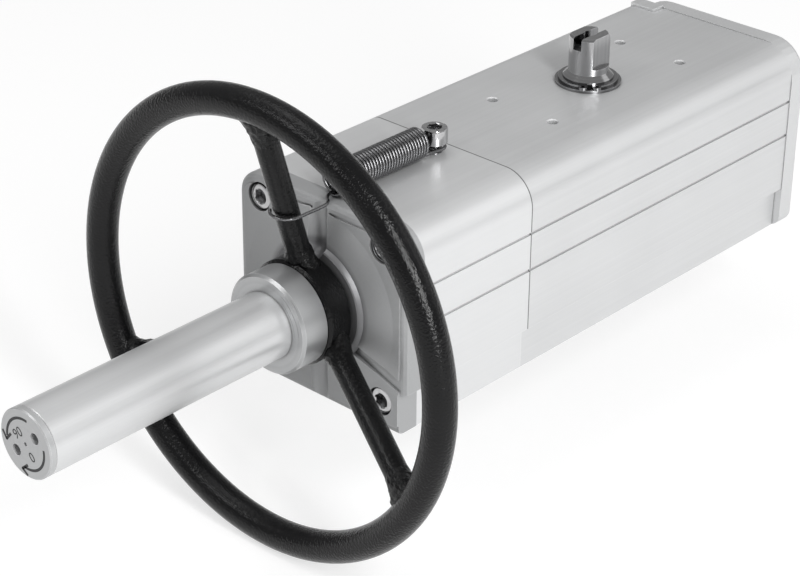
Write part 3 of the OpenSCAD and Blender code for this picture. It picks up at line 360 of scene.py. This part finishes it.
# Cover screws: zinc plated socket head screws, four to each cover, forged and rolled, with the head sunk in
# its counterbore. A chamfer runs round the head and another leads into the hexagon socket.
screw_steel = metal(
    "polished screw steel", (0.48, 0.48, 0.485), (0.90, 0.90, 0.91), 1.0, 0.15,
    (blasted, {"Size": 0.0018}), tone=0.20, bump=0.6, edge_radius=0.0003, painted_shade=0.85, reach=0.0012,
)
screw_d = 0.006
screw_head_d = 0.010
screw_head_h = 0.006
head_chamfer = 0.0009
socket_across = 0.0052
socket_depth = 0.0032
lead_in_depth = 0.0004
screw_thread_l = 0.014
thread_pitch = 0.001
thread_depth = 0.00055
crest = 0.15 * thread_pitch
flank_l = 0.5 * thread_pitch


def pick(*pieces):
    """Selects just these pieces and makes the first one active."""
    bpy.ops.object.select_all(action="DESELECT")
    for piece in pieces:
        piece.select_set(True)
    bpy.context.view_layer.objects.active = pieces[0]


def joined(pieces, name):
    """The pieces joined to one, with their turns and places written into the mesh."""
    pick(*pieces)
    if len(pieces) > 1:
        bpy.ops.object.join()
    bpy.ops.object.transform_apply(location=True, rotation=True, scale=True)
    pieces[0].name = name
    return pieces[0]


def dress(piece, material):
    """Gives a piece its one material."""
    piece.data.materials.clear()
    piece.data.materials.append(material)


def smoothed(piece, angle=35):
    """Smooth shading, with the edges that turn by more than the angle left sharp."""
    pick(piece)
    bpy.ops.object.shade_smooth_by_angle(angle=math.radians(angle))
    return piece


def turned(name, profile):
    """A solid turned about Z: a point is extruded through (height, radius) along the profile, then spun."""
    bpy.ops.object.select_all(action="DESELECT")
    bpy.ops.mesh.primitive_plane_add(size=0.001)
    piece = bpy.context.object
    piece.name = name
    bpy.ops.object.mode_set(mode="EDIT")
    bpy.ops.mesh.select_mode(type="VERT")
    bpy.ops.mesh.select_all(action="SELECT")
    bpy.ops.mesh.merge(type="CENTER")
    bpy.ops.transform.translate(value=(profile[0][1], 0, profile[0][0]))
    for (low, near), (high, far) in zip(profile, profile[1:]):
        bpy.ops.mesh.extrude_region_move(TRANSFORM_OT_translate={"value": (far - near, 0, high - low)})
    bpy.ops.mesh.select_all(action="SELECT")
    bpy.ops.mesh.spin(steps=48, angle=math.tau, center=(0, 0, 0), axis=(0, 0, 1))
    bpy.ops.mesh.select_all(action="SELECT")
    bpy.ops.mesh.remove_doubles(threshold=1e-6)
    bpy.ops.mesh.normals_make_consistent(inside=False)
    bpy.ops.object.mode_set(mode="OBJECT")
    return piece


def socket_screw(name, length, thread_from):
    """One screw along Z with its head's top at zero: thread_from is where the rolled thread starts."""
    radius = screw_d / 2
    head_r = screw_head_d / 2
    end = -screw_head_h - length
    profile = [(end, 0), (end, radius - thread_depth)]
    for turn in range(int((-thread_from - end - thread_pitch) / thread_pitch)):
        low = end + (turn + 0.5) * thread_pitch
        profile += [(low, radius), (low + crest, radius), (low + flank_l, radius - thread_depth)]
    # The plain shank, the head with its chamfer in two steps, and the lead-in of the socket
    profile += [
        (-thread_from, radius), (-screw_head_h, radius), (-screw_head_h, head_r), (-head_chamfer, head_r),
        (-0.3 * head_chamfer, head_r - 0.25 * head_chamfer), (0, head_r - head_chamfer),
        (0, socket_across * 0.60), (-lead_in_depth, socket_across * 0.5), (-lead_in_depth - 0.0001, 0),
    ]
    screw = turned(name, profile)
    bpy.ops.object.select_all(action="DESELECT")
    bpy.ops.mesh.primitive_cylinder_add(
        vertices=6, radius=socket_across / math.sqrt(3), depth=2 * socket_depth, location=(0, 0, 0)
    )
    cutter = bpy.context.object
    pick(screw)
    cut = screw.modifiers.new("socket", "BOOLEAN")
    cut.object = cutter
    cut.operation = "DIFFERENCE"
    bpy.ops.object.modifier_apply(modifier=cut.name)
    bpy.data.objects.remove(cutter)
    return smoothed(screw)


def screw_place(top, outwards):
    """Where a screw goes: the middle of its head's top, and the way that its head faces."""
    return Matrix.Translation(top) @ Vector(outwards).to_track_quat("Z", "Y").to_matrix().to_4x4()


def copies_at(pattern, name, matrices):
    """One piece made of copies of the pattern, which is then deleted."""
    copies = []
    for matrix in matrices:
        copy = bpy.data.objects.new(name, pattern.data.copy())
        bpy.context.collection.objects.link(copy)
        copy.matrix_world = matrix
        copies.append(copy)
    bpy.data.objects.remove(pattern)
    return joined(copies, name)


for node, outwards in (("front_cover_screws", (-1, 0, 0)), ("rear_cover_screws", (1, 0, 0))):
    low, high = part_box(node)
    top_x = low.x if outwards[0] < 0 else high.x
    length = high.x - low.x - screw_head_h
    one = socket_screw("cover_screw_pattern", length, screw_head_h + length - screw_thread_l)
    inset = screw_head_d / 2
    corners = [(y, z) for y in (low.y + inset, high.y - inset) for z in (low.z + inset, high.z - inset)]
    places = [screw_place((top_x, y, z), outwards) for y, z in corners]
    screws = copies_at(one, node + "_forged", places)
    dress(screws, screw_steel)
    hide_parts(node)
    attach(screws, "housing")
finish_nodes(screw_steel, "retainer_screws", "collar_grub_screw")

# Handwheel: a ring of round steel bar on three welded spokes and a turned hub, powder coated black. The
# coat is glossy, with a fine orange peel that breaks up the highlights.
peel_rate = 1100.0
peel_depth = 0.00025
black_coat, tree, shader = new_material("black powder coat")
shader.inputs["Specular IOR Level"].default_value = 0.24
peel = speckle(tree, peel_rate, 2.0)
slow = put(tree, "Group", {"Size": 0.012}, node_tree=tone_drift).outputs["Value"]
# The coat is lighter at sharp edges: partly rubbed coat, partly a painted highlight.
edges = put(tree, "Group", {"Radius": 0.0005}, node_tree=rubbed_and_highlit_edges).outputs["Mask"]
coat_tone = blend(tree, slow, (0.002, 0.002, 0.0022, 1), (0.006, 0.006, 0.0065, 1))
coat_tone = blend(tree, edges, coat_tone, (0.03, 0.03, 0.032, 1))
wire_up(tree, shader, coat_tone, ramp(tree, slow, 0.35, 0.65, 0.16, 0.22), peel, 1.0, peel_depth)
finish_nodes(black_coat, "wheel_rim", "wheel_spokes", "wheel_hub")

# Welds: a bead of filler round each end of each spoke, which spreads along the bar of the rim and round the
# hub. The torch leaves it lumpy, and the powder coat covers it with the rest of the wheel.
rim_low, rim_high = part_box("wheel_rim")
bar_radius = (rim_high.x - rim_low.x) / 2
wheel_radius = (rim_high.z - rim_low.z) / 2 - bar_radius
spoke_count = 3
axis_height = (rim_high.z + rim_low.z) / 2
rim_place_x = (rim_high.x + rim_low.x) / 2
spoke_root_x = -0.160
spoke_root_r = 0.018
spoke_root = Vector((spoke_root_x, 0, spoke_root_r))
spoke_end = Vector((rim_place_x, 0, wheel_radius))
spoke_way = (spoke_end - spoke_root).normalized()
# Each ring of a bead: height over the rim bar's centre or over the spoke's root, half width along the
# joint, half width across it
rim_bead = (
    (0.0028, 0.0102, 0.0046), (0.0050, 0.0096, 0.0050), (0.0063, 0.0081, 0.0052), (0.0076, 0.0067, 0.0051),
    (0.0092, 0.0058, 0.0050), (0.0110, 0.0052, 0.0048), (0.0135, 0.0047, 0.0047), (0.0160, 0.0043, 0.0043),
)
hub_bead = (
    (-0.0030, 0.0088, 0.0046), (-0.0002, 0.0085, 0.0049), (0.0014, 0.0074, 0.0050), (0.0028, 0.0063, 0.0051),
    (0.0044, 0.0055, 0.0050), (0.0062, 0.0049, 0.0048), (0.0085, 0.0043, 0.0043),
)
lump_height = 0.0009
weld_lumps = bpy.data.textures.new("weld lumps", "CLOUDS")
weld_lumps.noise_scale = 0.0022
weld_lumps.noise_depth = 2


def weld_bead(name, rings):
    """A bead along Z: a disc is extruded from ring to ring and scaled to each, then roughened into lumps."""
    bpy.ops.object.select_all(action="DESELECT")
    bpy.ops.mesh.primitive_circle_add(vertices=32, radius=1, fill_type="NGON")
    bead = bpy.context.object
    bead.name = name
    bpy.ops.object.mode_set(mode="EDIT")
    bpy.ops.mesh.select_all(action="SELECT")
    height, along, across = rings[0]
    bpy.ops.transform.resize(value=(across, along, 1), center_override=(0, 0, 0))
    bpy.ops.transform.translate(value=(0, 0, height))
    for next_height, next_along, next_across in rings[1:]:
        bpy.ops.mesh.extrude_region_move(TRANSFORM_OT_translate={"value": (0, 0, next_height - height)})
        growth = (next_across / across, next_along / along, 1)
        bpy.ops.transform.resize(value=growth, center_override=(0, 0, 0))
        height, along, across = next_height, next_along, next_across
    bpy.ops.mesh.select_all(action="SELECT")
    bpy.ops.mesh.normals_make_consistent(inside=False)
    bpy.ops.object.mode_set(mode="OBJECT")
    finer = bead.modifiers.new("finer", "SUBSURF")
    finer.levels = finer.render_levels = 2
    rougher = bead.modifiers.new("lumps", "DISPLACE")
    rougher.texture = weld_lumps
    rougher.strength = lump_height
    rougher.mid_level = 0.5
    bpy.ops.object.modifier_apply(modifier=finer.name)
    bpy.ops.object.modifier_apply(modifier=rougher.name)
    return smoothed(bead, 60)


for name, rings, start, pointing in (
    ("rim_welds", rim_bead, spoke_end, -spoke_way),
    ("hub_welds", hub_bead, spoke_root, spoke_way),
):
    width_way = Vector((0, 1, 0))
    stand = Matrix((width_way.cross(pointing), width_way, pointing)).transposed().to_4x4()
    at_axis = Matrix.Translation((0, 0, axis_height))
    at_spokes = [
        at_axis @ Matrix.Rotation(number * math.tau / spoke_count, 4, "X") @ Matrix.Translation(start) @ stand
        for number in range(spoke_count)
    ]
    welds = copies_at(weld_bead(name + "_pattern", rings), name, at_spokes)
    dress(welds, black_coat)
    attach(welds, "handwheel")

# Hub key: a short bar of square steel, half in the hub and half in the drive nut, through which the wheel
# turns the nut.
finish_nodes(turned_steel, "hub_key")

# Lock collar: a turned aluminium ring over the end of the drive nut, close in front of the hub. A grub screw
# in its side holds the tube in it.
collar_finish = metal(
    "turned collar", (0.42, 0.425, 0.43), (0.84, 0.84, 0.85), 0.6, 0.32, turned_about_x,
    tone=0.05, bump=0.35, painted_shade=0.9, reach=0.0016,
)
finish_nodes(collar_finish, "lock_collar")

# Spindle tube: a drawn aluminium tube over the free end of the spindle, pressed into the collar. Its satin
# surface has fine lines along its length.
tube_finish = metal(
    "drawn tube", (0.68, 0.685, 0.69), (0.86, 0.86, 0.87), 0.6, 0.36,
    (die_lines, {"Rate": (9.0, 2200.0, 2200.0)}), tone=0.03, bump=0.18, painted_shade=0.8, reach=0.0012,
)
finish_nodes(tube_finish, "spindle_tube")

# Tube cap: a turned plug with two holes for a pin spanner, printed with an arrow for each way of turning
# and the angle in degrees that the valve then goes to.
cap_finish = metal(
    "turned cap", (0.49, 0.495, 0.50), (0.90, 0.90, 0.91), 0.45, 0.34, turned_about_x,
    tone=0.05, bump=0.35, painted_shade=0.5, reach=0.0015,
)
finish_nodes(cap_finish, "tube_cap")
ink = moulded("black marking ink", (0.016, 0.016, 0.017), 0.5, grain_size=0.0003, tone=0.2)
ink_t = 0.00003
stroke_w = 0.0010
# Each arrow on the cap's face, with angles from the right, counter-clockwise: radius of its arc, angles where
# the arc starts and ends, the tip, and the ends of its two barbs (to the right, upwards)
arrows = (
    (0.0092, 80, 184, (-0.0096, -0.0018), ((-0.0113, 0.0008), (-0.0074, 0.0008))),
    (0.0092, 9, -100, (-0.0024, -0.0101), ((0.0002, -0.0079), (-0.0001, -0.0117))),
)
figures = (("90", (-0.0036, 0.0027)), ("0", (0.0030, -0.0039)))
figure_turn = math.radians(40)
figure_h = 0.0050
cap_front_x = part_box("tube_cap")[0].x
# Right, up and out of the cap's face
face_frame = Matrix(((0, 0, -1, cap_front_x), (-1, 0, 0, 0), (0, 1, 0, axis_height), (0, 0, 0, 1)))


def ink_line(start, end):
    """A straight stroke of ink, drawn flat as a plane that is stretched and turned along the line."""
    start, end = Vector(start), Vector(end)
    way = end - start
    middle = (start + end) / 2
    bpy.ops.object.select_all(action="DESELECT")
    bpy.ops.mesh.primitive_plane_add(size=1)
    line = bpy.context.object
    bpy.ops.object.mode_set(mode="EDIT")
    bpy.ops.transform.resize(value=(way.length + 0.6 * stroke_w, stroke_w, 1), center_override=(0, 0, 0))
    bpy.ops.object.mode_set(mode="OBJECT")
    turn = Matrix.Rotation(math.atan2(way.y, way.x), 4, "Z")
    line.matrix_world = Matrix.Translation((middle.x, middle.y, 0)) @ turn
    return line


def ink_arc(radius, start, end):
    """A bent stroke of ink: a disc's rim is inset to the stroke's width and cut to length."""
    bpy.ops.object.select_all(action="DESELECT")
    bpy.ops.mesh.primitive_circle_add(vertices=120, radius=radius + stroke_w / 2, fill_type="NGON")
    arc = bpy.context.object
    bpy.ops.object.mode_set(mode="EDIT")
    bpy.ops.mesh.inset(thickness=stroke_w)
    bpy.ops.mesh.delete(type="FACE")
    bpy.ops.object.mode_set(mode="OBJECT")
    low, high = sorted((math.radians(start), math.radians(end)))
    for face in arc.data.polygons:
        angle = math.atan2(face.center.y, face.center.x)
        face.select = not any(low <= angle + turn <= high for turn in (-math.tau, 0, math.tau))
    bpy.ops.object.mode_set(mode="EDIT")
    bpy.ops.mesh.select_mode(type="FACE")
    bpy.ops.mesh.delete(type="FACE")
    bpy.ops.object.mode_set(mode="OBJECT")
    return arc


prints = []
for radius, start, end, tip, barbs in arrows:
    prints.append(ink_arc(radius, start, end))
    prints += [ink_line(tip, barb) for barb in barbs]
arrow_marks = joined(prints, "cap_arrows")
bpy.ops.object.mode_set(mode="EDIT")
bpy.ops.mesh.select_all(action="SELECT")
bpy.ops.mesh.extrude_region_move(TRANSFORM_OT_translate={"value": (0, 0, ink_t)})
bpy.ops.mesh.select_all(action="SELECT")
bpy.ops.mesh.normals_make_consistent(inside=False)
bpy.ops.object.mode_set(mode="OBJECT")
marks = [arrow_marks]
for word, (to_right, upwards) in figures:
    bpy.ops.object.select_all(action="DESELECT")
    bpy.ops.object.text_add()
    figure = bpy.context.object
    figure.data.body = word
    figure.data.size = figure_h
    figure.data.align_x = figure.data.align_y = "CENTER"
    figure.data.extrude = ink_t / 2
    bpy.ops.object.convert(target="MESH")
    figure = bpy.context.object
    figure.name = "cap_figure_" + word
    figure_place = Matrix.Translation((to_right, upwards, ink_t / 2))
    figure.matrix_world = figure_place @ Matrix.Rotation(figure_turn, 4, "Z")
    marks.append(figure)
for mark in marks:
    mark.matrix_world = face_frame @ mark.matrix_world
    joined([mark], mark.name)
    dress(mark, ink)
    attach(mark, "handwheel")

# Lock screw: the same socket head screw, upright in the override housing. The spring's eye lies round its
# shank, under the head.
lock_low, lock_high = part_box("lock_screw")
lock_x = (lock_low.x + lock_high.x) / 2
plain_shank_l = 0.0004
one = socket_screw(
    "lock_screw_pattern", lock_high.z - lock_low.z - screw_head_h, screw_head_h + plain_shank_l
)
lock_screw = copies_at(one, "lock_screw_forged", [screw_place((lock_x, 0, lock_high.z), (0, 0, 1))])
dress(lock_screw, screw_steel)
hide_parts("lock_screw")
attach(lock_screw, "housing")

# Lock spring and hook: drawn stainless wire, wound close into an extension spring. One end is an eye
# under the lock screw, the other a bare length that hooks round a spoke.
spring_steel = metal(
    "drawn spring wire", (0.20, 0.20, 0.205), (0.50, 0.50, 0.51), 1.0, 0.27,
    (blasted, {"Size": 0.0006}), tone=0.12, bump=0.15, edge_radius=0.0002, painted_shade=0.95, reach=0.0012,
)
wire_d = 0.0013
coil_r = 0.00535
coil_pitch = 0.00145
coils = 31
points_a_turn = 20
housing_top = 0.080
coil_rise = 0.0064
coil_height = housing_top + coil_rise
eye_gap = 0.00035
eye_r = screw_d / 2 + wire_d / 2 + eye_gap
eye_rise = 0.002
eye_height = housing_top + eye_rise
eye_sweep = 290
eye_step = 15
eye_end_angle = math.radians(250)
eye_to_coil = 0.0087
coil_start_x = lock_x - eye_to_coil
coil_end_x = coil_start_x - coils * coil_pitch
spoke_r = 0.0045
hook_gap = 0.0008
shank_gap = 0.0001
hook_height = coil_height - coil_r + wire_d + shank_gap
hook_x = spoke_root.x + (hook_height - axis_height - spoke_root.z) * spoke_way.x / spoke_way.z
hook_r = spoke_r + wire_d / 2 + hook_gap


def bent_wire(name, points, steps):
    """Round wire bent along the points, with its ends closed."""
    path = bpy.data.curves.new(name, "CURVE")
    path.dimensions = "3D"
    path.resolution_u = steps
    path.bevel_depth = wire_d / 2
    path.bevel_resolution = 3
    path.use_fill_caps = True
    run = path.splines.new("BEZIER")
    run.bezier_points.add(len(points) - 1)
    for knot, point in zip(run.bezier_points, points):
        knot.co = point
        knot.handle_left_type = knot.handle_right_type = "AUTO"
    piece = bpy.data.objects.new(name, path)
    bpy.context.collection.objects.link(piece)
    pick(piece)
    bpy.ops.object.convert(target="MESH")
    piece = bpy.context.object
    dress(piece, spring_steel)
    return smoothed(piece, 60)


def on_eye(degrees):
    """A point of the eye, so many degrees before its end."""
    angle = eye_end_angle + math.radians(degrees)
    return Vector((lock_x + eye_r * math.cos(angle), eye_r * math.sin(angle), eye_height))


eye = [on_eye(eye_sweep - step) for step in range(0, eye_sweep, eye_step)]
# The lead is one smooth curve from the eye's end to the bottom of the first coil
eye_end = on_eye(0)
eye_way = Vector((math.sin(eye_end_angle), -math.cos(eye_end_angle), 0))
coil_start = Vector((coil_start_x, 0, coil_height - coil_r))
straight_on = 0.0035
coil_way = Vector((0, 0.0025, 0))
lead_knots = (eye_end, eye_end + straight_on * eye_way, coil_start - coil_way, coil_start)
lead = []
for share in (0, 0.2, 0.4, 0.6, 0.8):
    rest = 1 - share
    weights = (rest**3, 3 * rest**2 * share, 3 * rest * share**2, share**3)
    lead.append(sum((weight * knot for weight, knot in zip(weights, lead_knots)), Vector()))
winding = []
for number in range(coils * points_a_turn + 1):
    angle = math.tau * number / points_a_turn
    winding.append(Vector((
        coil_start_x - coil_pitch * number / points_a_turn,
        coil_r * math.sin(angle),
        coil_height - coil_r * math.cos(angle),
    )))
lock_spring = bent_wire("lock_spring_wound", eye + lead + winding, 2)
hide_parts("lock_spring")
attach(lock_spring, "housing")


def on_hook(degrees, rise=0.0):
    """A point of the hook's bend round the spoke."""
    angle = math.radians(degrees)
    return (hook_x + hook_r * math.cos(angle), hook_r * math.sin(angle), hook_height + rise)


# The shank starts inside the coil and passes beside the spoke, also when the hook is pulled off it
shank = [
    (coil_end_x + 0.016, 0, hook_height),
    (coil_end_x + 0.008, 0, hook_height),
    (coil_end_x + 0.001, -0.0001, hook_height),
    (hook_x + 0.0190, -0.0012, hook_height),
    (hook_x + 0.0145, -hook_r + 0.0006, hook_height),
    (hook_x + 0.0100, -hook_r - 0.0001, hook_height),
    (hook_x + 0.0040, -hook_r, hook_height),
]
bend_start = -88
bend_end = -216
bend_step = -14
tip_at = -230
tip_rise = 0.0008
bend = [on_hook(degrees) for degrees in range(bend_start, bend_end, bend_step)]
bend.append(on_hook(tip_at, tip_rise))
lock_hook = bent_wire("lock_hook_bent", shank + bend, 6)
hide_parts("lock_hook")
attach(lock_hook, "hook")

# The studio: a pale floor that the wheel just clears, soft lamps and the camera. The floor shines white to
# the camera and in reflections, and lights nothing.
floor_gap = 0.0005
floor_size = 60
bpy.ops.object.select_all(action="DESELECT")
bpy.ops.mesh.primitive_plane_add(size=floor_size, location=(0, 0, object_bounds()[0][2] - floor_gap))
floor = bpy.context.object
floor.name = "studio_floor"
floor_look, tree, shader = new_material("pale floor")
tree.nodes.remove(shader)
matt = put(tree, "BsdfDiffuse", {"Color": (0.45, 0.45, 0.45, 1)})
glow = put(tree, "Emission", {"Color": (1, 1, 1, 1), "Strength": 0.62})
path = put(tree, "LightPath")
seen = maths(tree, "MAXIMUM", path.outputs["Is Camera Ray"], path.outputs["Is Glossy Ray"])
seen = maths(tree, "MAXIMUM", seen, path.outputs["Is Transmission Ray"])
dark = put(tree, "Emission", {"Strength": 0.0})
lit = put(tree, "MixShader", {0: seen, 1: dark.outputs[0], 2: glow.outputs[0]})
whole = put(tree, "AddShader", {0: matt.outputs[0], 1: lit.outputs[0]})
tree.links.new(whole.outputs[0], tree.nodes["Material Output"].inputs["Surface"])
floor.data.materials.append(floor_look)

sky = bpy.data.worlds.new("studio")
sky.use_nodes = True
bpy.context.scene.world = sky
back = sky.node_tree.nodes["Background"]
back.inputs["Color"].default_value = (1, 1, 1, 1)
back.inputs["Strength"].default_value = 0.38


def soft_lamp(name, place, target, width, height, power):
    """An area lamp that faces the target."""
    light = bpy.data.lights.new(name, "AREA")
    light.shape = "RECTANGLE"
    light.size = width
    light.size_y = height
    light.energy = power
    lamp = bpy.data.objects.new(name, light)
    bpy.context.collection.objects.link(lamp)
    aim = Vector(target) - Vector(place)
    lamp.matrix_world = Matrix.Translation(place) @ aim.to_track_quat("-Z", "Y").to_matrix().to_4x4()


# The rear side lamp draws the long lights on shoulder and tube, the key lamp the one on the rim, and the
# spoke lamp the one on the lower spoke
soft_lamp("rear_side_lamp", (1.25, -1.15, 0.95), (-0.05, 0, 0.04), 1.2, 1.2, 3.5)
soft_lamp("key_lamp", (-0.52, -1.12, 0.72), (-0.1, 0, 0.04), 0.24, 1.0, 17)
soft_lamp("spoke_lamp", (-1.155, 0.42, 1.04), (-0.15, -0.03, 0.02), 0.7, 0.15, 3)
soft_lamp("top_lamp", (-0.2, 0.5, 1.6), (-0.05, 0, 0.04), 0.8, 0.8, 4)

camera_place = (-0.68324, -0.52295, 0.44794)
camera_turn = math.radians(-47.71)
camera_lift = math.radians(28.29)
camera_roll = math.radians(0.62)
focal_length = 106.44
right = Vector((math.cos(camera_turn), math.sin(camera_turn), 0))
backwards = Vector((
    math.sin(camera_turn) * math.cos(camera_lift),
    -math.cos(camera_turn) * math.cos(camera_lift),
    math.sin(camera_lift),
))
up = backwards.cross(right)
rolled_right = math.cos(camera_roll) * right + math.sin(camera_roll) * up
rolled_up = backwards.cross(rolled_right)
lens = bpy.data.cameras.new("photo_camera")
lens.sensor_width = 36
lens.lens = focal_length
camera = bpy.data.objects.new("photo_camera", lens)
bpy.context.collection.objects.link(camera)
stand = Matrix((rolled_right, rolled_up, backwards)).transposed().to_4x4()
camera.matrix_world = Matrix.Translation(camera_place) @ stand
bpy.context.scene.camera = camera
bpy.context.scene.view_settings.view_transform = "Standard"
